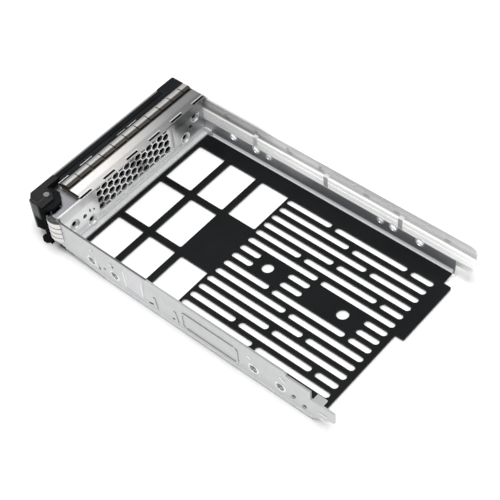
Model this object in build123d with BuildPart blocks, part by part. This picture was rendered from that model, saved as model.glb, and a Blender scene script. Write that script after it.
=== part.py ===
from build123d import *
import os

os.makedirs("parts", exist_ok=True)

# The drive that the caddy carries
drive_width = 101.6
side_play = 0.2            # bay clearance on each side of the drive
drive_lift = 1.6           # air gap between the drive and the base plate
screw_height = 6.35        # side screws above the drive's underside
screw_span = 101.6         # front to rear side screw
screw_r = 1.9
screw_dish_r = 2.7
screw_dish_depth = 0.5
screw_first = 20.3         # front side screw of a drive pushed to the front
screw_second = 35.7        # the same for a drive set back
bay_half = drive_width / 2 + side_play

# Sheet metal
sheet = 1.0                # rails, vent plate, front cover and pan
plate_t = 0.8              # black base plate
fit = 0.1                  # between formed sheets that seat on each other
play = 0.3                 # around moving pieces
foot_width = 4.6           # rail flange under the base plate
bend_r = 1.8               # outer radius between a rail's wall and its foot
ledge_bend_r = 0.9
plate_top = sheet + plate_t
screw_z = plate_top + drive_lift + screw_height

# Base plate: windows, slots, rest holes and rear tab
bay_length = 154.3         # drive bay, front to the rear end of the near rail's foot
plate_rear = bay_length + 2.4
tab_inset = 7.8            # from the bay's far side
tab_w = 37.6
tab_l = 4.6
window_cols = 3
window_rows = 3
window_margins = (9.48, 4.85)
window_first = 4.52
window_l = 17.78
window_ribs = (3.53, 3.47)
window_r = 1.0
slot_w = 3.67
slot_margins = (11.77, 12.23)
slot_land = 2.46
slot_first = 65.82
slot_rear = 2.92           # bare plate behind the slots
slot_cells = 6
rest_hole_r = 3.08
rest_hole_cells = (1.31, 4.31)

# Near rail outline, heights above the base plate
near_tops = (21.4, 19.4)
near_rear = bay_length
near_low_l = 13.3          # lower stretch at the rear end
near_tongue = bay_length + 12.9
tongue_z = (7.2, 14.0)
ramp_l = 28.0              # sloped lower edge behind the front
ramp_h = 4.4
stop_tab = (3.2, 5.2)      # inward tab behind the drive
panel_y = (78.9, 113.0)
panel_z = (3.2, 15.0)
panel_line = 0.9
emboss = 0.4

# Far rail section
ledge_z = plate_top + 9.0
ledge_w = 2.2
far_front = -14.5
far_wall_rear = bay_length + 3.6
far_rear = bay_length + 12.6
far_end_round = 3.5
far_top = 22.0
channel_lip = 2.6
punch_first = 14.0
punch_pitch = 20.6
punch_count = 7
punch_r = 0.9

# Vent plate
vent_flange = 2.6
pan_depth = 1.2
pan_insets = (22.4, 24.8)  # recess ends from the bay's far and near sides
pan_bottom = plate_top + 3.4
hex_r = 2.22
hex_col = 3.99
hex_inset = 2.5
hex_first_z = plate_top + 21.0
hex_rows = 4
dimple_r = 2.9
dimple_hole_r = 1.8
dimple_depth = 0.6
plain_r = 1.3

# Handle lever, its pin and latch claw
lever_over = 1.2           # past the bay's near side
hinge_inset = 7.3          # pin inside the lever's near end
hinge_back = -14.2
pin_r = 1.5
pin_play = 0.05
pin_head_r = 1.8
pin_head_t = 0.7
knuckle_r = 3.5
lever_back = -18.0
lever_t = 4.7
lever_z = (0.8, plate_top + 25.0)
lever_round = 1.8
ear_z = (plate_top + 21.8, plate_top + 23.5)
ear_reach = 8.0            # behind the pin
cap_reach = 4.3
ear_w = 6.2                # far side of the ears from the pin
lower_ear_t = 3.3
lower_ear_w = 3.1          # near side of the lower ear from the pin
cheek_t = 2.2
cheek_low = plate_top + 5.3
claw_t = 1.6
claw_back = -9.7
claw_foot = (1.2, -15.6, -12.0)
claw_clear = 0.42          # kept free round the claw's circle
grille_slot_w = 3.0
grille_slot_l = 13.5
grille_pitch = 4.8
grille_ends = (12.8, 20.0) # bare bar at the far and hinge ends
tongue_h = 7.6

# Front cover and pan
cover_top = plate_top + 24.0
cover_over = 2.0           # past the bay's far side
cover_front = -14.7
deck_w = 9.7               # from the hinge to the step
deck_z = plate_top + 20.5
lip_low = 18.3
slit_l = 7.6
slit_w = 0.8
slit_pitch = 16.15
slit_inset = 3.0

# Bezel frame and release button
bezel_back = -15.2
bezel_t = 2.5
bezel_over = 3.0           # past the bay's far side
bezel_gap = 1.2            # to the cover's step
bezel_z = (0.6, cover_top + 0.7)
bezel_open_z = (plate_top + 2.8, plate_top + 20.2)
bezel_bars = (1.1, 3.5)    # upright bars of the frame, far and near
block_w = 13.4
button_inset = 6.0         # from the block's near side
button_w = 5.6
button_z = (plate_top + 4.1, plate_top + 17.5)
button_stand = 0.8
button_travel = 1.6
button_rim = 0.9
button_bore_r = 2.3
button_bore = 4.6

# Light pipes
pipe_over = 13.5           # behind the bay
pipe_t = 1.5
pipe_h = 2.6
pipe_gap = 0.4
clip_stations = (36.6, 82.1, 127.0)
clip_t = 0.25

# Spring fingers
finger_t = 0.3
finger_rise = 0.9
finger_lift = 0.5          # of the free rear ends
finger_pitch = 8.28
finger_slit = 0.5
finger_back = -9.3
side_finger_rise = ledge_w - fit
side_finger_z = (8.1, 21.0)
side_finger_pitch = 3.4
side_finger_rear = 1.5

# Places that follow from the sizes above
rear_reach = bay_length + pipe_over
front_reach = -lever_back + lever_t + button_stand
bay_front = -(rear_reach - front_reach) / 2
lever_near = bay_half + lever_over
hinge_x = lever_near - hinge_inset
sweep_r = (hinge_inset ** 2 + (claw_back - hinge_back) ** 2) ** 0.5 + claw_clear
near_front = hinge_back + (sweep_r ** 2 - (bay_half - hinge_x) ** 2) ** 0.5
step_x = hinge_x - deck_w
cover_far = bay_half + cover_over
bezel_x = (-(bay_half + bezel_over), step_x - bezel_gap)
block_x = bezel_x[0] + block_w
bezel_open_x = (block_x + bezel_bars[0], bezel_x[1] - bezel_bars[1])
button_x = block_x - button_inset
lever_far = block_x + play
pan_x = (-(bay_half - pan_insets[0]), bay_half - pan_insets[1])


def station(back):
    return bay_front + back


def side_plane(x):
    return Plane.YZ.offset(x)


def front_plane(back):
    return Plane.XZ.offset(-station(back))


def corner(sketch, across, up):
    return sketch.vertices().sort_by_distance((across, up, 0))[0]


# Base plate, black sheet with windows, staggered slots and two rest holes
long_short = ((0, 2), (2, 5), (5, 6))
halves = ((0, 3), (3, 6))
late_break = ((0, 4), (4, 6))
round_hole = ((0, 1), (2, 3), (5, 6))
slot_rows = (long_short, halves, late_break, halves, long_short, halves, round_hole,
             round_hole, long_short, halves, late_break, halves, long_short, halves)
plate_half = bay_half - (bend_r - sheet)
window_w = (2 * bay_half - sum(window_margins) - (window_cols - 1) * window_ribs[0]) / window_cols
slot_cell = (plate_rear - slot_rear - slot_first + slot_land) / slot_cells
rest_holes = [slot_first + cells * slot_cell for cells in rest_hole_cells]
slot_pitch = (2 * bay_half - sum(slot_margins)) / (len(slot_rows) - 1)
tab_x = (-(bay_half - tab_inset), tab_w + tab_inset - bay_half)
tab_rear = plate_rear + tab_l


def slot_x(index):
    return -bay_half + slot_margins[0] + index * slot_pitch


with BuildPart() as base_plate:
    with BuildSketch(Plane.XY.offset(sheet)) as plate_face:
        with BuildLine():
            Polyline((-plate_half, station(-sheet)), (plate_half, station(-sheet)),
                     (plate_half, station(plate_rear)), (tab_x[1], station(plate_rear)),
                     (tab_x[1], station(tab_rear)), (tab_x[0], station(tab_rear)),
                     (tab_x[0], station(plate_rear)), (-plate_half, station(plate_rear)), close=True)
        make_face()
        fillet(plate_face.vertices().group_by(Axis.Y)[-1], radius=0.8)
        for column in range(window_cols):
            for row in range(window_rows):
                if (column, row) == (1, 2):
                    continue
                with Locations((-bay_half + window_margins[0] + window_w / 2 + column * (window_w + window_ribs[0]),
                                station(window_first + window_l / 2 + row * (window_l + window_ribs[1])))):
                    RectangleRounded(window_w, window_l, window_r, mode=Mode.SUBTRACT)
        for index, runs in enumerate(slot_rows):
            for start, end in runs:
                length = (end - start) * slot_cell - slot_land
                middle = station(slot_first) + start * slot_cell + length / 2
                with Locations((slot_x(index), middle)):
                    SlotOverall(length, slot_w, rotation=90, mode=Mode.SUBTRACT)
        with Locations(*[(slot_x((len(slot_rows) - 1) / 2), station(back)) for back in rest_holes]):
            Circle(rest_hole_r, mode=Mode.SUBTRACT)
    extrude(amount=plate_t)
base_plate.part.label = "base_plate"


# Near rail: one bent sheet with a stepped top edge, rear tongue and pressed details
screw_backs = (screw_first, screw_second, screw_first + screw_span, screw_second + screw_span)
near_outer = bay_half + sheet
tops = [plate_top + height for height in near_tops]
tongue_low = plate_top + tongue_z[0]
tongue_top = plate_top + tongue_z[1]

with BuildPart() as near_rail:
    with BuildSketch(side_plane(bay_half)) as near_face:
        with BuildLine():
            Polyline((station(near_front), plate_top + ramp_h), (station(ramp_l), bend_r),
                     (station(near_rear), bend_r),
                     (station(near_tongue) - 6.0, tongue_low - 2.6), (station(near_tongue), tongue_low),
                     (station(near_tongue), tongue_top), (station(near_rear), tongue_top),
                     (station(near_rear), tops[1]), (station(near_rear - near_low_l), tops[1]),
                     (station(near_rear - near_low_l), tops[0]), (station(near_front), tops[0]), close=True)
        make_face()
        fillet(near_face.vertices().group_by(Axis.Y)[-1], radius=1.5)
    extrude(amount=sheet)
    with BuildSketch(front_plane(near_rear)) as near_bend:
        with BuildLine():
            Polyline((bay_half - foot_width, 0), (near_outer, 0), (near_outer, 2 * bend_r), (bay_half, 2 * bend_r),
                     (bay_half, sheet), (bay_half - foot_width, sheet), close=True)
        make_face()
        fillet(corner(near_bend, near_outer, 0), radius=bend_r)
        fillet(corner(near_bend, bay_half, sheet), radius=bend_r - sheet)
    extrude(amount=near_rear - ramp_l)
    # inward tab at the rear end, and the raised blank panel
    with BuildSketch(Plane.XY.offset(tongue_top - sheet)):
        with Locations((bay_half - stop_tab[0] / 2 + sheet / 4, station(near_rear + stop_tab[1] / 2 + 0.8))):
            Rectangle(stop_tab[0] + sheet / 2, stop_tab[1])
    extrude(amount=sheet)
    with BuildSketch(side_plane(near_outer)) as panel:
        with Locations((station(sum(panel_y) / 2), plate_top + sum(panel_z) / 2)):
            RectangleRounded(panel_y[1] - panel_y[0], panel_z[1] - panel_z[0], 2.5)
            RectangleRounded(panel_y[1] - panel_y[0] - 2 * panel_line, panel_z[1] - panel_z[0] - 2 * panel_line,
                             2.5 - panel_line, mode=Mode.SUBTRACT)
    extrude(amount=emboss)
    # lanced ridges
    with BuildSketch(side_plane(near_outer)):
        with Locations((station(62.3), plate_top + 7.6), (station(75.3), plate_top + 7.6)):
            SlotOverall(8.0, 1.6, rotation=100)
    extrude(amount=emboss)
    # dished side-screw holes
    with BuildSketch(side_plane(near_outer)):
        with Locations(*[(station(back), screw_z) for back in screw_backs]):
            Circle(screw_dish_r)
    extrude(amount=-screw_dish_depth, taper=45, mode=Mode.SUBTRACT)
    with BuildSketch(side_plane(bay_half)):
        with Locations(*[(station(back), screw_z) for back in screw_backs]):
            Circle(screw_r)
        with Locations((station(29.0), screw_z)):
            Circle(0.8)
        with Locations((station(144.6), screw_z - 1.0), (station(150.6), screw_z - 3.2)):
            SlotOverall(3.6, 2.0, rotation=60)
    extrude(amount=sheet, mode=Mode.SUBTRACT)
near_rail.part.label = "near_rail"


# Far rail: foot, bay wall, ledge and upper channel wall in one section
far_outer = bay_half + ledge_w + sheet
cover_under = cover_top - sheet

with BuildPart() as far_rail:
    with BuildSketch(front_plane(far_rear)) as far_section:
        with BuildLine():
            Polyline((-(bay_half - foot_width), 0), (-(bay_half + sheet), 0), (-(bay_half + sheet), ledge_z),
                     (-far_outer, ledge_z), (-far_outer, cover_under - fit),
                     (-far_outer + sheet, cover_under - fit), (-far_outer + sheet, ledge_z + sheet),
                     (-bay_half, ledge_z + sheet), (-bay_half, sheet), (-(bay_half - foot_width), sheet),
                     close=True)
        make_face()
        fillet(corner(far_section, -(bay_half + sheet), 0), radius=bend_r)
        fillet(corner(far_section, -bay_half, sheet), radius=bend_r - sheet)
        fillet(corner(far_section, -bay_half, ledge_z + sheet), radius=ledge_bend_r)
        fillet(corner(far_section, -far_outer, ledge_z), radius=ledge_bend_r)
    extrude(amount=far_rear - far_front)
    # the bay wall and foot stop short of the channel at the rear
    with BuildSketch(front_plane(far_rear)):
        with Locations((-bay_half, (ledge_z - channel_lip) / 2)):
            Rectangle(4 * foot_width, ledge_z - channel_lip)
    extrude(amount=far_rear - far_wall_rear, mode=Mode.SUBTRACT)
    # the channel wall is taller only where the front cover sits on it
    with BuildSketch(Plane.XY.offset(plate_top + far_top)):
        with Locations((-far_outer, station((far_rear + 1.4) / 2))):
            Rectangle(4 * sheet, far_rear - 1.4)
    extrude(amount=cover_top, mode=Mode.SUBTRACT)
    fillet(far_rail.edges().filter_by(Axis.X).group_by(Axis.Y)[-1].sort_by(Axis.Z)[-1], radius=far_end_round)
    with BuildSketch(side_plane(-bay_half)):
        with Locations(*[(station(back), screw_z) for back in screw_backs]):
            Circle(screw_r)
        with Locations((station(44.1), screw_z), (station(114.2), screw_z)):
            Circle(screw_r * 0.8)
    extrude(amount=-sheet, mode=Mode.SUBTRACT)
    with BuildSketch(side_plane(-(bay_half + sheet))):
        with Locations(*[(station(back), screw_z) for back in screw_backs]):
            Circle(screw_dish_r)
    extrude(amount=screw_dish_depth, taper=45, mode=Mode.SUBTRACT)
    with BuildSketch(side_plane(-far_outer)):
        with Locations(*[(station(punch_first + punch_pitch * n), plate_top + 18.6) for n in range(punch_count)]):
            Circle(punch_r)
    extrude(amount=sheet, mode=Mode.SUBTRACT)
far_rail.part.label = "far_rail"


# Vent plate: recessed honeycomb, rear foot flange and extruded screw holes
vent_half = bay_half - fit
vent_top = cover_under - fit
hex_pitch = hex_col * 2 / 3 ** 0.5
hex_cols = int((pan_x[1] - pan_x[0] - 2 * hex_inset + hex_col) / hex_col)
hex_centres = []
for column in range(hex_cols):
    drop = (column % 2) * hex_pitch / 2
    for row in range(-(column % 2), hex_rows):
        hex_centres.append((pan_x[1] - hex_inset - column * hex_col, hex_first_z - row * hex_pitch - drop))
hex_low = hex_first_z - (hex_rows - 1) * hex_pitch - hex_r * 0.866
hex_high = hex_first_z + hex_r * 0.866
dimples = ((bay_half - 8.4, plate_top + 11.2), (bay_half - 19.1, plate_top + 5.2),
           (6.1 - bay_half, plate_top + 15.4), (14.5 - bay_half, plate_top + 6.8))
plain_holes = ((bay_half - 15.1, plate_top + 11.2), (10.0 - bay_half, plate_top + 11.1))

with BuildPart() as vent_plate:
    with BuildSketch(front_plane(0)):
        with Locations((0, (plate_top + vent_top) / 2)):
            Rectangle(2 * vent_half, vent_top - plate_top)
    extrude(amount=sheet)
    pan_middle = (sum(pan_x) / 2, (pan_bottom + vent_top) / 2)
    with BuildSketch(front_plane(0)):
        with Locations((pan_middle[0], pan_middle[1] - sheet / 2)):
            Rectangle(pan_x[1] - pan_x[0] + 2 * sheet, vent_top - pan_bottom + sheet)
    extrude(amount=pan_depth + sheet)
    with BuildSketch(front_plane(0)):
        with Locations(pan_middle):
            Rectangle(pan_x[1] - pan_x[0], vent_top - pan_bottom)
    extrude(amount=pan_depth, mode=Mode.SUBTRACT)
    with BuildSketch(front_plane(0)):
        with Locations(*hex_centres):
            RegularPolygon(hex_r, 6)
        with Locations((pan_middle[0], (hex_low + hex_high) / 2)):
            Rectangle(pan_x[1] - pan_x[0], hex_high - hex_low, mode=Mode.INTERSECT)
    extrude(amount=pan_depth + sheet, mode=Mode.SUBTRACT)
    with BuildSketch(Plane.XY.offset(plate_top)):
        with Locations((0, station((vent_flange - sheet) / 2))):
            Rectangle(2 * vent_half, vent_flange + sheet)
    extrude(amount=sheet)
    with BuildSketch(Plane.XY.offset(plate_top)):
        for side in (-1, 1):
            with Locations((side * (vent_half - sheet / 2), station(2.6))):
                Rectangle(sheet, 5.2)
    extrude(amount=4.0)
    # dished screw holes, pressed in from the bay side
    with BuildSketch(front_plane(-sheet)):
        with Locations(*dimples):
            Circle(dimple_r)
    extrude(amount=dimple_depth, taper=20)
    with BuildSketch(front_plane(0)):
        with Locations(*dimples):
            Circle(dimple_r - fit)
    extrude(amount=sheet, taper=45, mode=Mode.SUBTRACT)
    with BuildSketch(front_plane(0)):
        with Locations(*dimples):
            Circle(dimple_hole_r)
        with Locations(*plain_holes):
            Circle(plain_r)
    extrude(amount=sheet + dimple_depth, mode=Mode.SUBTRACT)
vent_plate.part.label = "vent_plate"


# Front cover: top sheet, step down to the hinge deck, slit rear fold with two lips
deck_rear = station(-sheet) - fit
deck_end = bay_half - fit
lip_back = sheet
slit_count = 1 + int((step_x + cover_far - 2 * slit_inset) / slit_pitch)
hinge_y = station(hinge_back)


def hinge_spot():
    return (hinge_x, hinge_y)


# a sheet's outline that leaves the claw's swept circle free and keeps a neck to the knuckle
def knuckle_outline(left_x, front_y):
    return [(left_x, front_y), (hinge_x - knuckle_r, front_y), (hinge_x - knuckle_r, hinge_y),
            (hinge_x, hinge_y), (hinge_x - 1.2, hinge_y + sweep_r), (deck_end, hinge_y + sweep_r),
            (deck_end, deck_rear), (left_x, deck_rear)]


with BuildPart() as front_cover:
    with BuildSketch(front_plane(lip_back)):
        with Locations(((step_x - cover_far) / 2, cover_top - sheet / 2)):
            Rectangle(step_x + cover_far, sheet)
    extrude(amount=lip_back - cover_front)
    with BuildSketch(front_plane(-sheet - fit)):
        with Locations((step_x - sheet / 2, (cover_top + deck_z) / 2)):
            Rectangle(sheet, cover_top - deck_z)
    extrude(amount=-sheet - fit - cover_front)
    with BuildSketch(front_plane(cover_front + sheet)):
        with Locations(((step_x - cover_far) / 2, (cover_top + deck_z) / 2)):
            Rectangle(step_x + cover_far, cover_top - deck_z)
    extrude(amount=sheet)
    # deck with the upper hinge knuckle
    with BuildSketch(Plane.XY.offset(deck_z)):
        with BuildLine():
            Polyline(*knuckle_outline(step_x - sheet, station(bezel_back - bezel_t)), close=True)
        make_face()
        with Locations(hinge_spot()):
            Circle(knuckle_r)
            Circle(pin_r, mode=Mode.SUBTRACT)
    extrude(amount=sheet)
    # rear fold: a narrow strip over the honeycomb and two deeper lips
    with BuildSketch(front_plane(lip_back)):
        with Locations((0, (cover_under + cover_top) / 2)):
            Rectangle(2 * deck_end, sheet)
        for low_x, high_x in ((-deck_end, pan_x[0] - sheet), (pan_x[1] + sheet, deck_end)):
            with Locations(((low_x + high_x) / 2, (plate_top + lip_low + cover_top) / 2)):
                Rectangle(high_x - low_x, cover_top - plate_top - lip_low)
    extrude(amount=lip_back - fit)
    with BuildSketch(Plane.XY.offset(cover_under)):
        with Locations(*[(step_x - slit_inset - n * slit_pitch, station(-0.4)) for n in range(slit_count)]):
            Rectangle(slit_l, slit_w)
    extrude(amount=sheet, mode=Mode.SUBTRACT)
front_cover.part.label = "front_cover"


# Front pan: bottom sheet with the lower hinge knuckle and an upturned front edge
pan_edge = bezel_open_z[0] + 0.4
with BuildPart() as front_pan:
    with BuildSketch(Plane.XY.offset(sheet)):
        with BuildLine():
            Polyline(*knuckle_outline(-plate_half, station(cover_front)), close=True)
        make_face()
        with Locations(hinge_spot()):
            Circle(knuckle_r)
            Circle(pin_r, mode=Mode.SUBTRACT)
    extrude(amount=sheet)
    with BuildSketch(front_plane(cover_front + sheet)):
        with Locations(((bezel_x[1] + block_x) / 2, (sheet + pan_edge) / 2)):
            Rectangle(bezel_x[1] - block_x, pan_edge - sheet)
    extrude(amount=sheet)
front_pan.part.label = "front_pan"


# Hinge pin with a small bevelled head over the handle's ear
ear_top = lever_z[1]
with BuildPart() as hinge_pin:
    with BuildSketch(Plane.XY.offset(sheet)):
        with Locations(hinge_spot()):
            Circle(pin_r)
    extrude(amount=ear_top + fit - sheet)
    with BuildSketch(Plane.XY.offset(ear_top + fit)):
        with Locations(hinge_spot()):
            Circle(pin_head_r)
    extrude(amount=pin_head_t)
    chamfer(hinge_pin.edges().group_by(Axis.Z)[-1], length=0.5 * pin_head_t)
hinge_pin.part.label = "hinge_pin"


# Handle lever: slotted bar, two hinge ears, and the cheek with the latch claw
lever_front = lever_back - lever_t
bar_middle = ((lever_near + lever_far) / 2, sum(lever_z) / 2)
lower_ear_z = 2 * sheet + play
bar_y = (station(lever_front), station(lever_back))
ear_left = hinge_x - ear_w
lower_ear_near = hinge_x + lower_ear_w
bar_slope = 4.0
foot_x = lever_near + claw_foot[0]
grille_count = 1 + int((lever_near - lever_far - sum(grille_ends)) / grille_pitch)

with BuildPart() as handle_lever:
    with BuildSketch(Plane.XY.offset(lever_z[0])):
        with BuildLine():
            Polyline((lever_far, bar_y[0]), (lever_near - bar_slope, bar_y[0]), (lever_near, bar_y[1] - 0.6),
                     (lever_near, bar_y[1]), (lever_far, bar_y[1]), close=True)
        make_face()
    extrude(amount=lever_z[1] - lever_z[0])
    bar_edges = handle_lever.edges().filter_by(Axis.X).group_by(Axis.Y)[0]
    slope_edges = handle_lever.edges().filter_by(GeomType.LINE).filter_by_position(
        Axis.X, lever_near - bar_slope + 0.1, lever_near - 0.1).filter_by_position(
        Axis.Y, bar_y[0] + 0.1, bar_y[1] - 0.7)
    fillet(bar_edges + slope_edges, radius=lever_round)
    # notch that leaves the claw's leg and foot free at the lower hinge corner
    with BuildSketch(front_plane(lever_back)):
        with BuildLine():
            Polyline((hinge_x, lever_z[0] - 1), (lever_near + 1, lever_z[0] - 1),
                     (lever_near + 1, cheek_low), (lower_ear_near, cheek_low), close=True)
        make_face()
    extrude(amount=lever_t, mode=Mode.SUBTRACT)
    # upper ear in two steps, then the lower ear
    with BuildSketch(Plane.XY.offset(ear_z[0])):
        with BuildLine():
            Polyline((ear_left + 1.0, bar_y[1] - 1), (ear_left, hinge_y + 2.4),
                     (hinge_x - 2.2, hinge_y + ear_reach - 0.6), (hinge_x + 3.2, hinge_y + ear_reach),
                     (lever_near, hinge_y + cap_reach), (lever_near, bar_y[1] - 1), close=True)
        make_face()
    extrude(amount=ear_z[1] - ear_z[0])
    with BuildSketch(Plane.XY.offset(ear_z[1] - 0.1)):
        with BuildLine():
            Polyline((ear_left + 2.2, bar_y[1] - 1), (hinge_x - 2.6, hinge_y + 1.0),
                     (hinge_x - 0.6, hinge_y + cap_reach), (lever_near, hinge_y + cap_reach),
                     (lever_near, bar_y[1] - 1), close=True)
        make_face()
    extrude(amount=lever_z[1] - ear_z[1] + 0.1)
    with BuildSketch(Plane.XY.offset(lower_ear_z)):
        with BuildLine():
            Polyline((ear_left, bar_y[1] - 1), (lower_ear_near - 2.5, bar_y[1] - 1),
                     (lower_ear_near, hinge_y), (hinge_x, hinge_y + 3.4), (hinge_x - 3.4, hinge_y + 3.4),
                     (ear_left, hinge_y), close=True)
        make_face()
    extrude(amount=lower_ear_t)
    with BuildSketch(Plane.XY):
        with Locations(hinge_spot()):
            Circle(pin_r + pin_play)
    extrude(amount=lever_z[1] + sheet, mode=Mode.SUBTRACT)
    # cheek, claw leg and rounded claw foot
    with BuildSketch(side_plane(lever_near - cheek_t)):
        with BuildLine():
            Polyline((bar_y[1] - 1, cheek_low), (hinge_y + 1.2, cheek_low + 1.6), (hinge_y + 3.0, ear_z[0] + 0.1),
                     (bar_y[1] - 1, ear_z[0] + 0.1), close=True)
        make_face()
    extrude(amount=cheek_t)
    with BuildSketch(side_plane(lever_near - claw_t)):
        with BuildLine():
            Polyline((station(claw_back) - 2.2, 0.4), (station(claw_back), 0.4),
                     (station(claw_back), ear_z[0] + 0.1), (station(claw_back) - 3.0, ear_z[0] + 0.1), close=True)
        make_face()
    extrude(amount=claw_t)
    with BuildSketch(Plane.XY.offset(0.4)) as foot_face:
        with BuildLine():
            Polyline((lever_near - claw_t, station(claw_foot[1])), (foot_x, station(claw_foot[1])),
                     (foot_x, station(claw_foot[2])), (lever_near, station(claw_foot[2]) + 0.6),
                     (lever_near, station(claw_back)), (lever_near - claw_t, station(claw_back)), close=True)
        make_face()
        fillet(foot_face.vertices().group_by(Axis.X)[-1], radius=1.3)
    extrude(amount=2.4)
    # airflow slots through the bar
    with BuildSketch(front_plane(lever_back)):
        with Locations(*[(lever_far + grille_ends[0] + grille_pitch * n, bar_middle[1])
                         for n in range(grille_count)]):
            SlotOverall(grille_slot_l, grille_slot_w, rotation=90)
    extrude(amount=lever_t, mode=Mode.SUBTRACT)
    # catch tongue at the free end
    with BuildSketch(front_plane(lever_back - 1.7)):
        with Locations((lever_far - 0.9, bar_middle[1])):
            Rectangle(2.2, tongue_h)
    extrude(amount=1.5)
handle_lever.part.label = "handle_lever"


# Kick spring of square wire round the pin, one leg along the deck and one towards the bar
kick_wire = 0.6
kick_r = pin_r + play + kick_wire / 2
kick_pitch = 0.95
kick_turns = 4.25
kick_leg = 2.6
kick_top = deck_z - play - kick_wire / 2
kick_low = kick_top - kick_turns * kick_pitch
with BuildPart() as lever_spring:
    with BuildLine() as kick_path:
        Helix(kick_pitch, kick_turns * kick_pitch, kick_r, center=(hinge_x, hinge_y, kick_low))
    wire_start = Plane(kick_path.line @ 0, x_dir=(1, 0, 0), z_dir=kick_path.line % 0)
    with BuildSketch(wire_start):
        Rectangle(kick_wire, kick_wire)
    sweep(is_frenet=True)
    with BuildSketch(wire_start):
        Rectangle(kick_wire, kick_wire)
    extrude(amount=-kick_leg)
    with BuildSketch(side_plane(hinge_x + kick_wire / 2)):
        with Locations((hinge_y + kick_r, kick_top)):
            Rectangle(kick_wire, kick_wire)
    extrude(amount=step_x + play - hinge_x - kick_wire / 2)
lever_spring.part.label = "lever_spring"


# Bezel frame with the release block at its far end
bezel_front = bezel_back - bezel_t
button_y0 = lever_front - button_stand
button_mid_z = sum(button_z) / 2
button_h = button_z[1] - button_z[0]
rim_back = bezel_back - 2.3
rim_front = rim_back - 1.5
pipe_x = -(far_outer - sheet - 0.3) + pipe_t / 2
pipe_z = (ledge_z + sheet + 0.2, ledge_z + sheet + 0.2 + pipe_h + pipe_gap)

with BuildPart() as front_bezel:
    with BuildSketch(front_plane(bezel_back)):
        with Locations((sum(bezel_x) / 2, sum(bezel_z) / 2)):
            RectangleRounded(bezel_x[1] - bezel_x[0], bezel_z[1] - bezel_z[0], 1.5)
        with Locations((sum(bezel_open_x) / 2, sum(bezel_open_z) / 2)):
            RectangleRounded(bezel_open_x[1] - bezel_open_x[0], bezel_open_z[1] - bezel_open_z[0], 1.5,
                             mode=Mode.SUBTRACT)
    extrude(amount=bezel_t)
    with BuildSketch(front_plane(bezel_front)):
        with Locations(((bezel_x[0] + block_x) / 2, sum(bezel_z) / 2)):
            RectangleRounded(block_x - bezel_x[0], bezel_z[1] - bezel_z[0], 1.5)
    extrude(amount=bezel_front - lever_front)
    fillet(front_bezel.edges().group_by(Axis.Y)[0], radius=1.0)
    # button opening, its wider rear pocket, the notch for the lever's tongue
    with BuildSketch(front_plane(bezel_back)):
        with Locations((button_x, button_mid_z)):
            Rectangle(button_w + 2 * play, button_h + 2 * play)
    extrude(amount=bezel_back - lever_front, mode=Mode.SUBTRACT)
    with BuildSketch(front_plane(bezel_back)):
        with Locations((button_x, button_mid_z)):
            Rectangle(button_w + 2 * (button_rim + play), button_h + 2 * (button_rim + play))
    extrude(amount=bezel_back - rim_front + play, mode=Mode.SUBTRACT)
    with BuildSketch(front_plane(lever_back - 1.7 + play)):
        with Locations(((block_x + button_x + button_w / 2) / 2, bar_middle[1])):
            Rectangle(block_x - button_x - button_w / 2 + 1, tongue_h + 2 * play)
    extrude(amount=6.0, mode=Mode.SUBTRACT)
    # light pipe channel
    with BuildSketch(front_plane(bezel_back)):
        with Locations((pipe_x, (pipe_z[0] + pipe_z[1] + pipe_h) / 2)):
            Rectangle(pipe_t + 2 * 0.2, pipe_z[1] - pipe_z[0] + pipe_h + 2 * 0.2)
    extrude(amount=bezel_back - lever_front, mode=Mode.SUBTRACT)
front_bezel.part.label = "front_bezel"


# Release button with a ribbed face, its retainer and coil
with BuildPart() as release_button:
    with BuildSketch(front_plane(rim_front)):
        with Locations((button_x, button_mid_z)):
            RectangleRounded(button_w, button_h, 0.8)
    extrude(amount=rim_front - button_y0)
    with BuildSketch(front_plane(rim_back)):
        with Locations((button_x, button_mid_z)):
            Rectangle(button_w + 2 * button_rim, button_h + 2 * button_rim)
    extrude(amount=rim_back - rim_front)
    with BuildSketch(front_plane(rim_back)):
        with Locations((button_x, button_mid_z)):
            Circle(button_bore_r)
    extrude(amount=button_bore, mode=Mode.SUBTRACT)
    with BuildSketch(front_plane(button_y0 + 0.4)):
        with Locations(*[(button_x, button_mid_z + 2.4 * n) for n in (-2, -1, 0, 1, 2)]):
            Rectangle(button_w - 1.4, 0.8)
    extrude(amount=0.4, mode=Mode.SUBTRACT)
release_button.part.label = "release_button"

with BuildPart() as button_retainer:
    with BuildSketch(front_plane(bezel_back + sheet)):
        with Locations((button_x + 0.4, button_mid_z)):
            Rectangle(button_w + 3.6, button_h + 5.6)
        with Locations(*[(button_x, button_mid_z + side * (button_h / 2 + 1.9)) for side in (-1, 1)]):
            Circle(0.8, mode=Mode.SUBTRACT)
    extrude(amount=sheet - fit / 2)
button_retainer.part.label = "button_retainer"

# the coil is drawn at the length it has with the button pressed
coil_wire = 0.45
coil_r = 1.75
coil_turns = 4
coil_back = bezel_back - fit / 2 - coil_wire / 2
coil_span = button_bore + bezel_back - rim_back - button_travel - fit - coil_wire
with BuildPart() as button_spring:
    coil_start = Vector(button_x, station(coil_back), button_mid_z)
    with BuildLine() as coil_path:
        Helix(coil_span / coil_turns, coil_span, coil_r, center=coil_start, direction=(0, -1, 0))
    coil_out = (coil_path.line @ 0) - coil_start
    with BuildSketch(Plane(coil_path.line @ 0, x_dir=coil_out, z_dir=coil_path.line % 0)):
        Rectangle(coil_wire, coil_wire)
    sweep(is_frenet=True)
button_spring.part.label = "button_spring"


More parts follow.
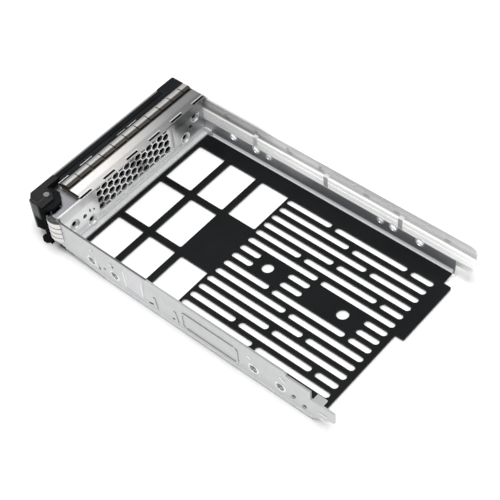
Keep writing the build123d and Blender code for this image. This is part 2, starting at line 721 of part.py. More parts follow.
# Two light pipes side by side in the far rail's channel
def light_pipe(name, low):
    with BuildPart() as pipe:
        with BuildSketch(front_plane(rear_reach)):
            with Locations((pipe_x, low + pipe_h / 2)):
                Rectangle(pipe_t, pipe_h)
        extrude(amount=rear_reach - lever_front)
        chamfer(pipe.edges().group_by(Axis.Y)[-1], length=0.4)
    pipe.part.label = name
    return pipe.part


light_pipe_lower = light_pipe("light_pipe_lower", pipe_z[0])
light_pipe_upper = light_pipe("light_pipe_upper", pipe_z[1])

# Three clips that hold the pipes against the channel wall
clip_in = pipe_x + pipe_t / 2 + fit
clip_out = -far_outer + sheet
with BuildPart() as pipe_clips:
    for back in clip_stations:
        with BuildSketch(front_plane(back)):
            with BuildLine():
                top = pipe_z[1] + pipe_h + fit
                Polyline((clip_in, ledge_z + sheet), (clip_in + clip_t, ledge_z + sheet), (clip_in + clip_t, top + 0.6),
                         (clip_out, top + 0.6), (clip_out, top), (clip_in, top), close=True)
            make_face()
        extrude(amount=2.6)
pipe_clips.part.label = "pipe_clips"


# Hexagon screws that hold the bezel from behind, heads on the cover and pan flanges
screw_xs = (bezel_open_x[0] + 5.5, sum(bezel_open_x) / 2, bezel_open_x[1] - 5.5)
screw_zs = ((2 * sheet + pan_edge) / 2, bezel_open_z[1] + 1.5)
with BuildPart() as bezel_screws:
    with BuildSketch(front_plane(cover_front + sheet + 0.9)):
        with Locations(*[(x, z) for x in screw_xs for z in screw_zs]):
            RegularPolygon(1.3, 6)
    extrude(amount=0.9)
bezel_screws.part.label = "bezel_screws"


# Spring fingers along the top, bottom and near side of the front
def finger_strip(name, base, out, turn, low_x, high_x, leg):
    with BuildPart() as strip:
        with BuildSketch(side_plane(low_x)):
            with BuildLine():
                a = (station(cover_front) - 0.35, base)
                b = (station(finger_back), base + turn * min(finger_lift, out))
                crest = (station((cover_front + finger_back) / 2), base + turn * out)
                ThreePointArc(a, crest, b)
                Line(b, (b[0], b[1] + turn * finger_t))
                ThreePointArc((b[0], b[1] + turn * finger_t), (crest[0], crest[1] + turn * finger_t),
                              (a[0], a[1] + turn * finger_t))
                Line((a[0], a[1] + turn * finger_t), a)
            make_face()
            with Locations((station(cover_front) - 0.2, base + turn * (0.3 - leg / 2))):
                Rectangle(0.3, leg)
        extrude(amount=high_x - low_x)
        with BuildSketch(Plane.XY.offset(base - 2)):
            slits = int((high_x - low_x - finger_slit) / finger_pitch)
            with Locations(*[(high_x - finger_pitch * n, station((cover_front + finger_back) / 2) + 0.7)
                             for n in range(1, slits + 1)]):
                Rectangle(finger_slit, finger_back - cover_front - 0.4)
        extrude(amount=4, mode=Mode.SUBTRACT)
    strip.part.label = name
    return strip.part


top_fingers = finger_strip("top_fingers", cover_top, finger_rise, 1, -cover_far, step_x - 0.3, 2.7)
bottom_fingers = finger_strip("bottom_fingers", sheet - 0.05, finger_rise - 0.45, -1,
                              -(bay_half - foot_width) + 0.5, bezel_x[1] - 0.5, 2.4)

side_base = near_outer + fit
side_y = (station(near_front) - 0.4, station(side_finger_rear))
side_low = plate_top + side_finger_z[0]
side_high = plate_top + side_finger_z[1]
side_slits = int((side_high - side_low - finger_slit) / side_finger_pitch)
with BuildPart() as side_fingers:
    with BuildSketch(Plane.XY.offset(side_low)):
        with BuildLine():
            a = (side_base, side_y[0])
            b = (side_base, side_y[1])
            crest = (side_base + side_finger_rise - finger_t, (side_y[0] + side_y[1]) / 2)
            ThreePointArc(a, crest, b)
            Line(b, (b[0] + finger_t, b[1]))
            ThreePointArc((b[0] + finger_t, b[1]), (crest[0] + finger_t, crest[1]), (a[0] + finger_t, a[1]))
            Line((a[0] + finger_t, a[1]), a)
        make_face()
        with Locations((side_base - 0.15, side_y[0] + 0.15)):
            Rectangle(0.9, 0.3)
    extrude(amount=side_high - side_low)
    with BuildSketch(side_plane(side_base)):
        with Locations(*[(sum(side_y) / 2 + 0.5, side_high - side_finger_pitch * n)
                         for n in range(1, side_slits + 1)]):
            Rectangle(side_y[1] - side_y[0] - 0.6, finger_slit)
    extrude(amount=side_finger_rise + 1, mode=Mode.SUBTRACT)
side_fingers.part.label = "side_fingers"


for piece in (base_plate, near_rail, far_rail, vent_plate, front_cover, front_pan, hinge_pin, handle_lever,
              lever_spring, front_bezel, release_button, button_retainer, button_spring, pipe_clips,
              bezel_screws, side_fingers):
    export_step(piece.part, "parts/" + piece.part.label + ".step")
for solid in (light_pipe_lower, light_pipe_upper, top_fingers, bottom_fingers):
    export_step(solid, "parts/" + solid.label + ".step")
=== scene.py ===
import math

import bmesh
import bpy
from mathutils import Matrix, Vector


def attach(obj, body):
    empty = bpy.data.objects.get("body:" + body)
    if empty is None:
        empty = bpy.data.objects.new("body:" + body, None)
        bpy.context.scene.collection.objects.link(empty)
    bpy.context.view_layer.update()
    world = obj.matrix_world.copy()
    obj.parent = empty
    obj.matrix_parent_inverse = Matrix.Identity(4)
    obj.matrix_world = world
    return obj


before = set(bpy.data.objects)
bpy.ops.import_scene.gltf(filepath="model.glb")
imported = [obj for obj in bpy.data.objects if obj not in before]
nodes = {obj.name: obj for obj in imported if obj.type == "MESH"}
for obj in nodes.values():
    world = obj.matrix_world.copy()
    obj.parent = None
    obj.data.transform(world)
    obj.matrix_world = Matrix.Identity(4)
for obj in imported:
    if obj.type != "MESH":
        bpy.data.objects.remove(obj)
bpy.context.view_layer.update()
scene = bpy.context.scene

# Lengths are in mm in the CAD's frame, where nothing else is said
MM = 0.001

# The camera stands where the photograph was taken from
CAMERA_PLACE = Vector((272.01, 278.28, 470.12)) * MM
CAMERA_RIGHT = (-0.650416, 0.756229, -0.071251)
CAMERA_DOWN = (0.612337, 0.46652, -0.638281)
CAMERA_FORWARD = (-0.449446, -0.458778, -0.766499)
CAMERA_SENSOR = 36.0
CAMERA_LENS = 90.945
CAMERA_SHIFT = (0.00698, -0.0008)
CAMERA_CLIP = (0.01, 20.0)  # m

# Faces of the CAD that the added pieces lie on
BAY_X = 51.0
RAIL_X = 52.0
PLATE_TOP = 1.8
COVER_TOP = 25.8
BEZEL_TOP = 26.5
LEVER_TOP = 26.8
VENT_FACE = -72.15
SUNK = 0.02  # how far a piece reaches into the sheet that it lies on

# Bends beside the plate: where they start, and where the far and the near one end
BEND_FRONT = -66.6
FAR_BEND_REAR = 84.4
NEAR_BEND_REAR = 82.0

# Slits in the cover's rear fold: their centres in X, and their mouths in Y
SLITS = [32.2 - 16.15 * index for index in range(6)]
SLIT_FRONT = -72.95
SLIT_REAR = -71.75

# Holes of both rails as (Y, Z), and dished holes of the vent plate as (X, Z)
SCREW_HOLES = ((-51.85, 9.75), (-36.45, 9.75), (49.75, 9.75), (65.15, 9.75))
SMALL_HOLES = ((-28.05, 9.75), (42.05, 9.75))
VENT_DIMPLES = ((42.6, 13.0), (31.9, 7.0), (-44.9, 17.2), (-36.5, 8.6))

# Places in Y of painted shade: dark soft patches that stand for dents along the far channel wall
DENT_SHADE_PLACES = (-57.0, -36.5, -15.5, 4.0, 32.0, 50.0, 79.0)

# How the grain of brushed steel is stretched, along Y or along X
BRUSHED_Y = (1, 0.06, 1)
BRUSHED_X = (0.06, 1, 1)

# Half of the floor's side, in m
FLOOR_REACH = 4.0

MATERIALS = {}


def make_camera():
    data = bpy.data.cameras.new("view")
    data.sensor_width = CAMERA_SENSOR
    data.lens = CAMERA_LENS
    data.shift_x, data.shift_y = CAMERA_SHIFT
    data.clip_start, data.clip_end = CAMERA_CLIP
    camera = bpy.data.objects.new("view", data)
    scene.collection.objects.link(camera)
    up = [-part for part in CAMERA_DOWN]
    backward = [-part for part in CAMERA_FORWARD]
    axes = Matrix([CAMERA_RIGHT, up, backward]).transposed()
    camera.matrix_world = Matrix.Translation(CAMERA_PLACE) @ axes.to_4x4()
    scene.camera = camera


def grey(value, tint=0.0):
    return (value - tint, value, value + tint)


# A material as a small node network in object coordinates
class Paint:
    def __init__(self, name, **values):
        self.material = bpy.data.materials.new(name)
        self.material.use_nodes = True
        self.tree = self.material.node_tree
        self.shader = self.tree.nodes["Principled BSDF"]
        self.fill(self.shader, values)
        self.coordinates = self.tree.nodes.new("ShaderNodeTexCoord")
        self.axes = {}

    def fill(self, node, values):
        for socket, value in values.items():
            node.inputs[socket.replace("_", " ")].default_value = value

    def node(self, kind, **values):
        made = self.tree.nodes.new(kind)
        self.fill(made, values)
        return made

    def link(self, out, into):
        self.tree.links.new(out, into)

    # A node's output is linked to the socket, and a plain value is set on it
    def put(self, value, socket):
        if isinstance(value, bpy.types.NodeSocket):
            self.link(value, socket)
        else:
            socket.default_value = value

    def noise(self, scale, detail, stretch=(1, 1, 1)):
        mapping = self.node("ShaderNodeMapping", Scale=stretch)
        self.link(self.coordinates.outputs["Object"], mapping.inputs["Vector"])
        made = self.node("ShaderNodeTexNoise", Scale=scale, Detail=detail)
        self.link(mapping.outputs["Vector"], made.inputs["Vector"])
        return made.outputs["Fac"]

    def cells(self, scale):
        made = self.node("ShaderNodeTexVoronoi", Scale=scale)
        self.link(self.coordinates.outputs["Object"], made.inputs["Vector"])
        return made.outputs["Color"]

    # stops: (place from 0 to 1, colour there)
    def ramp(self, value, stops):
        made = self.node("ShaderNodeValToRGB")
        elements = made.color_ramp.elements
        while len(elements) < len(stops):
            elements.new(0.5)
        for element, (place, colour) in zip(elements, stops):
            element.position = place
            element.color = (*colour, 1.0)
        self.link(value, made.inputs["Fac"])
        return made.outputs["Color"]

    def mixed(self, factor, first, second, blend="MIX"):
        made = self.node("ShaderNodeMix")
        made.data_type = "RGBA"
        made.blend_type = blend
        self.put(factor, made.inputs[0])
        self.put(first, made.inputs[6])
        self.put(second, made.inputs[7])
        return made.outputs[2]

    def shaded(self, mask, colour, factor):
        return self.mixed(mask, colour, (*factor, 1.0), "MULTIPLY")

    # key: x, y or z for the place, or nx, ny or nz for the surface normal
    def axis(self, key):
        kind = "Normal" if len(key) == 2 else "Object"
        if kind not in self.axes:
            self.axes[kind] = self.node("ShaderNodeSeparateXYZ")
            self.link(self.coordinates.outputs[kind], self.axes[kind].inputs[0])
        return self.axes[kind].outputs[key[-1].upper()]

    # 0 up to the first place, 1 from the second on; places in mm, or a normal's share
    def step(self, key, first, second):
        unit = 1.0 if len(key) == 2 else MM
        made = self.node("ShaderNodeMapRange", From_Min=first * unit, From_Max=second * unit)
        self.link(self.axis(key), made.inputs["Value"])
        return made.outputs["Result"]

    # A mask that is 1 inside the limits, each a (low, high) pair with None for no limit
    def zone(self, soft=0.15, **limits):
        mask = None
        for key, (low, high) in limits.items():
            for place, sign in ((low, 1), (high, -1)):
                if place is None:
                    continue
                edge = self.step(key, place - sign * soft, place + sign * soft)
                if mask is None:
                    mask = edge
                else:
                    both = self.node("ShaderNodeMath")
                    both.operation = "MULTIPLY"
                    self.link(mask, both.inputs[0])
                    self.link(edge, both.inputs[1])
                    mask = both.outputs[0]
        return mask

    # areas: (mask, how metallic the surface is there)
    def metal(self, base, areas):
        value = base
        for mask, amount in areas:
            made = self.node("ShaderNodeMix")
            self.put(mask, made.inputs[0])
            self.put(value, made.inputs[2])
            self.put(amount, made.inputs[3])
            value = made.outputs[0]
        self.put(value, self.shader.inputs["Metallic"])

    def colour(self, out):
        self.link(out, self.shader.inputs["Base Color"])

    def rough(self, value, low, high):
        made = self.node("ShaderNodeMapRange", To_Min=low, To_Max=high)
        self.link(value, made.inputs["Value"])
        self.link(made.outputs["Result"], self.shader.inputs["Roughness"])

    # distance in m
    def bump(self, value, strength, distance=0.0001):
        made = self.node("ShaderNodeBump", Strength=strength, Distance=distance)
        self.link(value, made.inputs["Height"])
        self.link(made.outputs["Normal"], self.shader.inputs["Normal"])


# zones: (limits, factor on the colour, how metallic it is there or None for no change)
# painted_light_bands: (axis, start, end, factors on the colour from start to end), painted light
# and shade that changes along one axis
def steel(name, dark, light, tint=0.004, low=0.24, high=0.38, brush=(1, 1, 1), grain=0.1,
          metallic=1.0, zones=(), painted_light_bands=None):
    paint = Paint(name)
    dark, light = grey(dark, tint), grey(light, tint)
    spangle = paint.ramp(paint.cells(380.0), [(0.0, dark), (1.0, light)])
    cloud = paint.ramp(paint.noise(60.0, 5.0, brush), [(0.3, dark), (0.7, light)])
    colour = paint.mixed(0.65, spangle, cloud)
    if painted_light_bands:
        key, start, end, factors = painted_light_bands
        along = paint.ramp(paint.step(key, start, end), factors)
        colour = paint.mixed(1.0, colour, along, "MULTIPLY")
    areas = []
    for limits, factor, amount in zones:
        mask = paint.zone(**limits)
        colour = paint.shaded(mask, colour, factor)
        if amount is not None:
            areas.append((mask, amount))
    paint.metal(metallic, areas)
    paint.colour(colour)
    paint.rough(paint.noise(140.0, 4.0, brush), low, high)
    paint.bump(paint.noise(700.0, 4.0, brush), grain)
    return paint.material


# painted_highlights: (limits, grey value there), lighter areas that paint highlights on the
# plastic
def plastic(name, base, light, gloss=0.12, painted_highlights=()):
    paint = Paint(name, Specular_IOR_Level=gloss)
    colour = paint.ramp(paint.noise(120.0, 5.0),
                        [(0.3, grey(base, 0.001)), (0.75, grey(light, 0.001))])
    for limits, shade in painted_highlights:
        pale = paint.ramp(paint.noise(400.0, 3.0), [(0.3, grey(shade * 0.8)), (0.7, grey(shade))])
        colour = paint.mixed(paint.zone(**limits), colour, pale)
    paint.colour(colour)
    paint.rough(paint.noise(300.0, 3.0), 0.38, 0.55)
    paint.bump(paint.noise(2200.0, 2.0), 0.3, 0.00005)
    return paint.material


def black_paint(name):
    paint = Paint(name, Specular_IOR_Level=0.11)
    speck = paint.ramp(paint.noise(1500.0, 2.0), [(0.62, grey(0.004)), (0.8, grey(0.02))])
    cloud = paint.ramp(paint.noise(40.0, 4.0),
                       [(0.3, grey(0.003, 0.0006)), (0.7, grey(0.008, 0.0014))])
    paint.colour(paint.mixed(0.4, cloud, speck))
    paint.rough(paint.noise(90.0, 4.0), 0.42, 0.62)
    paint.bump(paint.noise(2600.0, 2.0), 0.3, 0.00004)
    return paint.material


# The faint glow stands for the light from above that clear plastic passes on. It is weaker on
# top of the outer edge and towards the front.
def clear_pipe(name):
    paint = Paint(name, IOR=1.49, Specular_IOR_Level=0.6, Transmission_Weight=0.05,
                  Emission_Strength=0.28)
    colour = paint.ramp(paint.noise(60.0, 3.0, (1, 0.15, 1)),
                        [(0.3, (0.93, 0.93, 0.92)), (0.7, (1.0, 1.0, 0.99))])
    # painted shade, in both colour and glow: on top of the outer edge, and towards the front
    outer_top = paint.zone(x=(None, -52.2), nz=(0.5, None), soft=0.3)
    colour = paint.shaded(outer_top, colour, grey(0.4))
    front = paint.zone(y=(None, -28.0), soft=24.0)
    colour = paint.shaded(front, colour, grey(0.62))
    paint.link(colour, paint.shader.inputs["Emission Color"])
    paint.colour(colour)
    paint.rough(paint.noise(200.0, 3.0, (1, 0.2, 1)), 0.18, 0.4)
    return paint.material


def film(name):
    paint = Paint(name, Specular_IOR_Level=0.4)
    paint.colour(paint.ramp(paint.noise(260.0, 3.0),
                            [(0.3, (0.68, 0.68, 0.7)), (0.7, (0.74, 0.74, 0.757))]))
    paint.rough(paint.noise(200.0, 3.0), 0.35, 0.5)
    return paint.material


def make_rail_steels():
    near_zones = [
        # painted highlight: the foot of the wall lighter and less metallic, where its bend
        # catches the light
        (dict(z=(None, 3.2), soft=0.8), grey(1.3), 0.45),
        # painted shade on the top edge: front part, hinge end, rear part
        (dict(z=(22.9, None), nz=(0.6, None), y=(None, -14.0)), grey(0.22), None),
        (dict(z=(20.0, None), nz=(0.6, None), y=(None, -74.0)), grey(0.3), None),
        (dict(z=(20.8, None), nz=(0.6, None), y=(-14.0, None), soft=0.4), grey(0.8), None),
    ]
    MATERIALS["near"] = steel("near_rail_steel", 0.48, 0.58, brush=BRUSHED_Y, metallic=0.75,
                              zones=near_zones)

    far_zones = [
        # painted shade of the dents on the channel wall
        (dict(y=(y - 1.6, y + 1.6), z=(18.0, 19.6), x=(None, -52.5), soft=0.8), grey(0.55), None)
        for y in DENT_SHADE_PLACES
    ] + [
        # wall beside the bay: darker and bluish, a painted reflection of the black plate
        (dict(z=(None, 11.2), x=(-51.6, -50.85), y=(None, 85.6)), (0.56, 0.575, 0.6), 0.7),
        # painted shade on the channel wall behind the pipes; its top less metallic
        (dict(z=(11.9, 19.9), x=(None, -52.95), soft=0.4), grey(0.68), None),
        (dict(z=(19.6, None), soft=0.3), grey(1.0), 0.15),
        # shade towards the front
        (dict(z=(11.0, None), y=(None, -30.0), soft=7.0), grey(0.62), None),
    ]
    MATERIALS["far"] = steel("far_rail_steel", 0.84, 0.95, low=0.3, high=0.45,
                             brush=BRUSHED_Y, metallic=0.45, zones=far_zones)


def make_front_steels():
    front_zones = [
        # painted shade: the hinge deck bluish grey, its bend warm grey, and the step up to the
        # cover dark
        (dict(x=(35.6, None), z=(21.0, 24.6), nz=(0.5, None)), (0.325, 0.33, 0.35), None),
        (dict(x=(34.0, 37.6), z=(21.0, 24.6), nz=(0.5, None), soft=0.9), (0.5, 0.48, 0.45), None),
        (dict(x=(34.9, 35.7), z=(22.5, 25.6), nx=(0.5, None)), (0.16, 0.14, 0.12), None),
        # painted shade: a dark strip on the cover where the fingers end, and the cover's rear
        # fold a bit darker
        (dict(y=(None, -80.3), z=(25.4, None), soft=0.3), (0.2, 0.18, 0.165), None),
        (dict(y=(-75.5, None), z=(25.4, None), soft=0.5), grey(0.72), None),
    ]
    # painted light and shade along X: the cover lighter in the middle and darker towards the far
    # end
    front_painted_light = ("x", -55.0, 40.0, [
        (0.0, grey(0.38)), (0.22, grey(0.42)), (0.34, grey(0.58)), (0.5, (0.76, 0.745, 0.73)),
        (0.7, (0.86, 0.83, 0.8)), (1.0, grey(0.74))])
    MATERIALS["front"] = steel("front_steel", 0.9, 1.0, brush=BRUSHED_X, zones=front_zones,
                               painted_light_bands=front_painted_light)

    vent_zones = [
        # foot, shade towards the far end, and the foot's far end
        (dict(z=(None, 4.3), soft=0.5), grey(0.84), 0.3),
        (dict(x=(None, -29.0), z=(6.0, None), soft=4.0), grey(0.6), None),
        (dict(x=(None, -49.0), y=(-71.4, None), z=(None, 6.0)), grey(1.0), 0.1),
    ]
    MATERIALS["vent"] = steel("vent_steel", 0.74, 0.94, brush=BRUSHED_X, metallic=0.8,
                              zones=vent_zones)

    finger_zones = [
        # painted shade: a dark band at the fingers' rear ends
        (dict(y=(-83.3, None), z=(24.0, None), soft=0.35), (0.15, 0.14, 0.125), None),
    ]
    # painted light along X: the fingers lighter towards the far end and darker towards the near
    # end
    finger_painted_light = ("x", -55.0, 40.0, [
        (0.0, grey(1.0)), (0.4, grey(0.97)), (0.7, grey(0.8)), (1.0, grey(0.66))])
    MATERIALS["fingers"] = steel("finger_steel", 0.68, 0.78, tint=-0.012, low=0.3, high=0.4,
                                 grain=0.015, zones=finger_zones, painted_light_bands=finger_painted_light)
    # painted shade: the side fingers' top faces dark
    MATERIALS["side_fingers"] = steel("side_finger_steel", 0.66, 0.76, tint=-0.02, low=0.3,
                                      high=0.42, grain=0.02, metallic=0.5,
                                      zones=[(dict(nz=(0.55, None)), grey(0.08), 0.9)])


def make_small_steels():
    MATERIALS["small"] = steel("small_steel", 0.42, 0.55)
    MATERIALS["clips"] = steel("clip_steel", 0.75, 0.85, metallic=0.4)
    MATERIALS["pin"] = steel("pin_steel", 0.1, 0.2)
    MATERIALS["pan"] = steel("pan_steel", 0.05, 0.09, low=0.5, high=0.7)
    # Pale, almost matte steel: painted highlights on the rails' bends and the dishes' lips, and
    # the film's pale edges
    MATERIALS["bright"] = steel("bend_steel", 0.88, 0.97, tint=0.01, low=0.3, high=0.45,
                                brush=BRUSHED_Y, grain=0.05, metallic=0.05)
    MATERIALS["bead"] = steel("bead_steel", 0.78, 0.9, low=0.25, high=0.4, grain=0.04,
                              metallic=0.6)
    MATERIALS["sliver"] = steel("sliver_steel", 0.4, 0.55)


def make_plastics():
    lever_painted_highlights = [
        # painted highlight on the edge at the front of the top
        (dict(y=(None, -93.0), z=(25.9, None), x=(None, 34.0), soft=0.35), 0.3),
        # painted highlights on the upper part of the hinge side's face, and on the slope in front
        # of it
        (dict(x=(51.0, None), nx=(0.5, None), y=(None, -85.5), z=(16.5, 26.0), soft=1.0), 0.22),
        (dict(x=(51.0, None), nx=(0.5, None), y=(None, -90.2), z=(2.5, None), soft=0.35), 0.3),
        # painted light on the top of the hinge end, lighter than the rest
        (dict(x=(33.5, None), nz=(0.5, None), z=(26.3, None), soft=0.2), 0.03),
    ]
    MATERIALS["lever"] = plastic("lever_plastic", 0.009, 0.016, gloss=0.0, painted_highlights=lever_painted_highlights)
    # lighter, glossier plastic that paints highlights on the lever's ridges
    MATERIALS["ridge_highlight"] = plastic("ridge_highlight_plastic", 0.035, 0.07, gloss=0.3)
    MATERIALS["pocket"] = plastic("pocket_shade", 0.004, 0.01, gloss=0.05)
    MATERIALS["bezel"] = plastic("bezel_plastic", 0.005, 0.009)
    MATERIALS["button"] = plastic("button_plastic", 0.05, 0.07)
    MATERIALS["pipe"] = clear_pipe("pipe_plastic")
    MATERIALS["plate"] = black_paint("plate_paint")
    MATERIALS["film"] = film("label_film")


LOOKS = {
    "base_plate": "plate", "near_rail": "near", "far_rail": "far", "vent_plate": "vent",
    "front_cover": "front", "front_pan": "pan", "top_fingers": "fingers",
    "bottom_fingers": "fingers", "side_fingers": "side_fingers", "hinge_pin": "pin",
    "lever_spring": "small", "button_spring": "small", "bezel_screws": "small",
    "pipe_clips": "clips", "handle_lever": "lever", "front_bezel": "bezel",
    "button_retainer": "bezel", "release_button": "button", "light_pipe_lower": "pipe",
    "light_pipe_upper": "pipe",
}


def dress_all():
    for name, look in LOOKS.items():
        node = nodes[name]
        node.data.materials.clear()
        node.data.materials.append(MATERIALS[look])


# An added piece, built as a mesh in mm and then scaled
def add_piece(name, look, build, bevel=0.0, body="carrier"):
    mesh = bmesh.new()
    build(mesh)
    bmesh.ops.recalc_face_normals(mesh, faces=mesh.faces)
    if bevel:
        sharp = [edge for edge in mesh.edges if edge.calc_face_angle(0.0) > 0.5]
        bmesh.ops.bevel(mesh, geom=sharp, offset=bevel, segments=2, affect="EDGES", profile=0.6)
    bmesh.ops.scale(mesh, vec=(MM, MM, MM), verts=mesh.verts)
    data = bpy.data.meshes.new(name)
    mesh.to_mesh(data)
    mesh.free()
    for face in data.polygons:
        face.use_smooth = False
    piece = bpy.data.objects.new(name, data)
    scene.collection.objects.link(piece)
    data.materials.append(MATERIALS[look])
    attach(piece, body)


def prism(mesh, outline, along):
    along = Vector(along)
    first = [mesh.verts.new(Vector(point)) for point in outline]
    last = [mesh.verts.new(Vector(point) + along) for point in outline]
    mesh.faces.new(first)
    mesh.faces.new(last[::-1])
    count = len(outline)
    for index in range(count):
        following = (index + 1) % count
        mesh.faces.new((first[index], last[index], last[following], first[following]))


# A ring round an axis parallel to X, or to Y, from its (radius, place on the axis) section
def ring(mesh, centre, section, round_y=False, steps=28):
    loops = []
    for radius, place in section:
        loop = []
        for step in range(steps):
            angle = 2 * math.pi * step / steps
            across = centre[0] + radius * math.cos(angle)
            up = centre[1] + radius * math.sin(angle)
            loop.append(mesh.verts.new((across, place, up) if round_y else (place, across, up)))
        loops.append(loop)
    for index, loop in enumerate(loops):
        other = loops[(index + 1) % len(loops)]
        for step in range(steps):
            following = (step + 1) % steps
            mesh.faces.new((loop[step], loop[following], other[following], other[step]))


# Outline of a slot with round ends, across X, from one (Y, Z) end to the other
def capsule(x, ends, half, steps=7):
    (y0, z0), (y1, z1) = ends
    heading = math.atan2(z1 - z0, y1 - y0)
    points = []
    for (y, z), start in (((y1, z1), heading - math.pi / 2), ((y0, z0), heading + math.pi / 2)):
        for step in range(steps + 1):
            angle = start + math.pi * step / steps
            points.append((x, y + half * math.cos(angle), z + half * math.sin(angle)))
    return points


# Marks with round ends on the near rail's outer face
def rail_marks(mesh, base, height, half, places):
    for ends in places:
        prism(mesh, capsule(RAIL_X + base, ends, half), (height, 0, 0))


# The round inside of a rail's bend. Side is -1 at the far rail and 1 at the near one.
def bend_strip(mesh, side, rear):
    wall, foot = BAY_X - 0.01, BAY_X - 0.62
    section = [(wall, 4.0), (BAY_X - 0.12, 3.1), (BAY_X - 0.3, 2.4), (foot, 1.86),
               (foot, PLATE_TOP), (wall, PLATE_TOP)]
    prism(mesh, [(side * x, BEND_FRONT, z) for x, z in section], (0, rear - BEND_FRONT, 0))


def far_bend(mesh):
    bend_strip(mesh, -1, FAR_BEND_REAR)


def near_bend(mesh):
    bend_strip(mesh, 1, NEAR_BEND_REAR)


# Black sheets over the slits in the cover's rear fold, the painted shade of their mouths
def cover_slits(mesh):
    z = COVER_TOP + 0.01
    for x in SLITS:
        left, right = x - 3.8, x + 3.8
        prism(mesh, [(left, SLIT_FRONT, z), (right, SLIT_FRONT, z), (right, SLIT_REAR, z),
                     (left, SLIT_REAR, z)], (0, 0, 0.05))


# Raised edges in front of the same slits
def cover_ridges(mesh):
    crest = COVER_TOP + 0.22
    for x in SLITS:
        left, right = x - 4.6, x + 3.9
        prism(mesh, [(left, SLIT_FRONT - 0.6, COVER_TOP), (left, SLIT_FRONT - 0.45, crest),
                     (left, SLIT_FRONT - 0.15, crest), (left, SLIT_FRONT, COVER_TOP)],
              (right - left, 0, 0))


# Short strips of steel that show between the bezel and the fingers
def bezel_slivers(mesh):
    base, crest = BEZEL_TOP - 0.01, BEZEL_TOP + 0.12
    for left, right in ((29.0, 35.7), (12.7, 21.0), (-10.8, -5.0), (-18.7, -12.0)):
        prism(mesh, [(left, -87.8, base), (left, -87.3, base), (left, -87.35, crest),
                     (left, -87.75, crest)], (right - left, 0, 0))


# Blank clear film on the near rail, and two pale marks along its edges
def label_film(mesh):
    corners = ((-30.4, 16.6), (-29.2, 8.1), (-17.75, 6.2), (-16.05, 22.1), (-28.0, 22.3))
    prism(mesh, [(RAIL_X, y, z) for y, z in corners], (0.12, 0, 0))


def film_edges(mesh):
    rail_marks(mesh, 0.1, 0.12, 0.32, [
        ((-29.9, 17.4), (-29.1, 7.2)), ((-18.1, 17.1), (-18.0, 8.7))])


# Pressed rims of the near rail's screw holes, and raised marks beside them
def rail_beads(mesh):
    foot, crest = RAIL_X - SUNK, RAIL_X + 0.3
    for hole in SCREW_HOLES:
        ring(mesh, hole, [(2.15, foot), (2.3, crest), (2.75, crest), (3.15, foot)])
    rail_marks(mesh, -SUNK, 0.3, 0.5, [
        ((-38.4, 17.2), (-37.6, 16.4)), ((-48.6, 8.8), (-47.8, 8.1)),
        ((-51.3, 18.2), (-50.5, 17.6)), ((47.0, 17.0), (48.6, 16.2)),
        ((65.6, 17.2), (67.6, 16.0))])
    rail_marks(mesh, -SUNK, 0.3, 0.35, [((86.9, 6.2), (91.0, 5.9)), ((86.9, 9.9), (91.0, 10.3))])


# Dark sheets on the near rail, the painted shade of small punched marks
def rail_pockets(mesh):
    rail_marks(mesh, -0.01, 0.06, 0.45, [
        ((-14.0, 6.9), (-11.8, 7.5)), ((1.0, 6.9), (4.0, 7.1)),
        ((-37.3, 15.8), (-36.7, 15.4)), ((-47.5, 7.6), (-46.7, 7.1))])


# Pressed rims of the far rail's holes, on the side of the bay
def far_rims(mesh):
    foot, crest = -BAY_X - SUNK, -BAY_X + 0.28
    for holes, inner in ((SCREW_HOLES, 1.95), (SMALL_HOLES, 1.6)):
        for hole in holes:
            ring(mesh, hole, [(inner, foot), (inner + 0.1, crest), (inner + 0.4, crest),
                              (inner + 0.7, foot)])


# Collars in the vent plate's dished holes, and the rims round the dishes
def vent_collars(mesh):
    rear, front = VENT_FACE - 0.8, VENT_FACE - 1.35
    foot, crest = VENT_FACE - SUNK, VENT_FACE + 0.15
    for hole in VENT_DIMPLES:
        ring(mesh, hole, [(1.85, rear), (1.85, front), (1.5, front), (1.5, rear)], round_y=True)
        ring(mesh, hole, [(2.75, foot), (2.95, crest), (3.3, foot)], round_y=True)


# Raised lips at the low side of the same dishes, in pale steel as painted highlights
def vent_lip_highlights(mesh):
    section = ((2.1, VENT_FACE - 0.35), (2.5, VENT_FACE + 0.25), (3.0, VENT_FACE + 0.4),
               (3.4, VENT_FACE))
    sweep = [math.radians(angle) for angle in range(-125, -74, 5)]
    count = len(section)
    for x, z in VENT_DIMPLES:
        loops = [[mesh.verts.new((x + radius * math.cos(angle), y, z + radius * math.sin(angle)))
                  for radius, y in section] for angle in sweep]
        for loop, other in zip(loops, loops[1:]):
            for index in range(count):
                following = (index + 1) % count
                mesh.faces.new((loop[index], loop[following], other[following], other[index]))
        mesh.faces.new(loops[0])
        mesh.faces.new(loops[-1][::-1])


# Dark sheets beside the near pair of dishes, the painted shade of small punched marks
def vent_marks(mesh):
    y = VENT_FACE + 0.01
    for x, z, half in ((32.3, 14.1, 1.2), (29.7, 12.9, 0.8)):
        left, right = x - 0.4, x + 0.4
        prism(mesh, [(left, y, z - half), (right, y, z - half * 0.7), (right, y, z + half),
                     (left, y, z + half * 0.7)], (0, 0.05, 0))


# Raised ridges on top of the lever's hinge end, in lighter plastic as painted highlights along
# its rim
def lever_ridges(mesh):
    rise = Vector((0, 0, 0.2))
    base = LEVER_TOP - SUNK
    for (x0, y0), (x1, y1) in (((51.4, -90.2), (51.4, -86.3)), ((51.0, -86.15), (43.6, -85.9))):
        along = Vector((x1 - x0, y1 - y0, 0))
        across = Vector((-along.y, along.x, 0)).normalized() * 0.22
        start = Vector((x0, y0, base))
        prism(mesh, [start - across, start + across, start + across * 0.5 + rise,
                     start - across * 0.5 + rise], along)


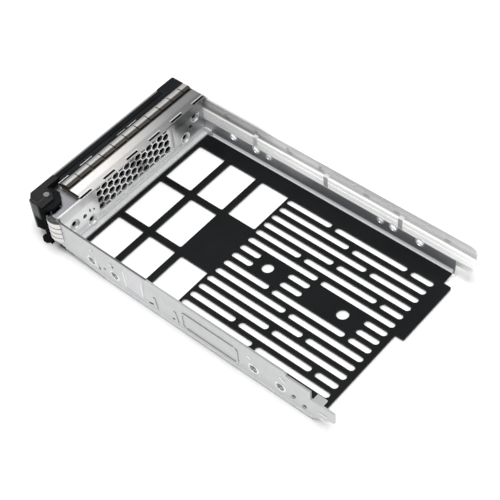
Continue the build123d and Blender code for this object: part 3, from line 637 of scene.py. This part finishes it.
def add_pieces():
    # the bends' strips in pale, almost matte steel, as painted highlights
    add_piece("far_bend", "bright", far_bend)
    add_piece("near_bend", "bright", near_bend)
    add_piece("cover_slits", "pocket", cover_slits)
    add_piece("cover_ridges", "bead", cover_ridges)
    add_piece("bezel_slivers", "sliver", bezel_slivers)
    add_piece("label_film", "film", label_film, bevel=0.04)
    add_piece("rail_beads", "bead", rail_beads)
    add_piece("rail_pockets", "pocket", rail_pockets)
    add_piece("far_rims", "bead", far_rims)
    add_piece("vent_collars", "bead", vent_collars)
    add_piece("film_edges", "bright", film_edges)
    add_piece("vent_lip_highlights", "bright", vent_lip_highlights)
    add_piece("vent_marks", "pocket", vent_marks)
    add_piece("lever_ridges", "ridge_highlight", lever_ridges, body="lever")


def make_floor():
    data = bpy.data.meshes.new("floor")
    corners = [(x * FLOOR_REACH, y * FLOOR_REACH, 0)
               for x, y in ((-1, -1), (1, -1), (1, 1), (-1, 1))]
    data.from_pydata(corners, [], [(0, 1, 2, 3)])
    floor = bpy.data.objects.new("floor", data)
    scene.collection.objects.link(floor)
    paint = Paint("floor_paint", Roughness=0.9, Specular_IOR_Level=0.1)
    paint.colour(paint.ramp(paint.noise(3.0, 2.0), [(0.3, grey(0.9)), (0.7, grey(0.92))]))
    data.materials.append(paint.material)


# place, aim and size in m, power in W
def area_light(name, place, aim, size, power):
    data = bpy.data.lights.new(name, "AREA")
    data.shape = "DISK"
    data.size = size
    data.energy = power
    lamp = bpy.data.objects.new(name, data)
    scene.collection.objects.link(lamp)
    place = Vector(place)
    turn = (Vector(aim) - place).to_track_quat("-Z", "Y").to_matrix().to_4x4()
    lamp.matrix_world = Matrix.Translation(place) @ turn


def make_lights():
    world = bpy.data.worlds.new("studio")
    world.use_nodes = True
    background = world.node_tree.nodes["Background"]
    background.inputs["Color"].default_value = (1.0, 1.0, 1.0, 1.0)
    background.inputs["Strength"].default_value = 0.45
    scene.world = world
    area_light("softbox", place=(-0.15, -0.9, 1.0), aim=(0, -0.05, 0), size=0.7, power=3.2)
    area_light("overhead", place=(0.1, 0.15, 1.2), aim=(0, 0, 0), size=0.8, power=13.0)


scene.view_settings.view_transform = "Standard"
make_camera()
make_floor()
make_lights()
make_rail_steels()
make_front_steels()
make_small_steels()
make_plastics()
dress_all()
add_pieces()
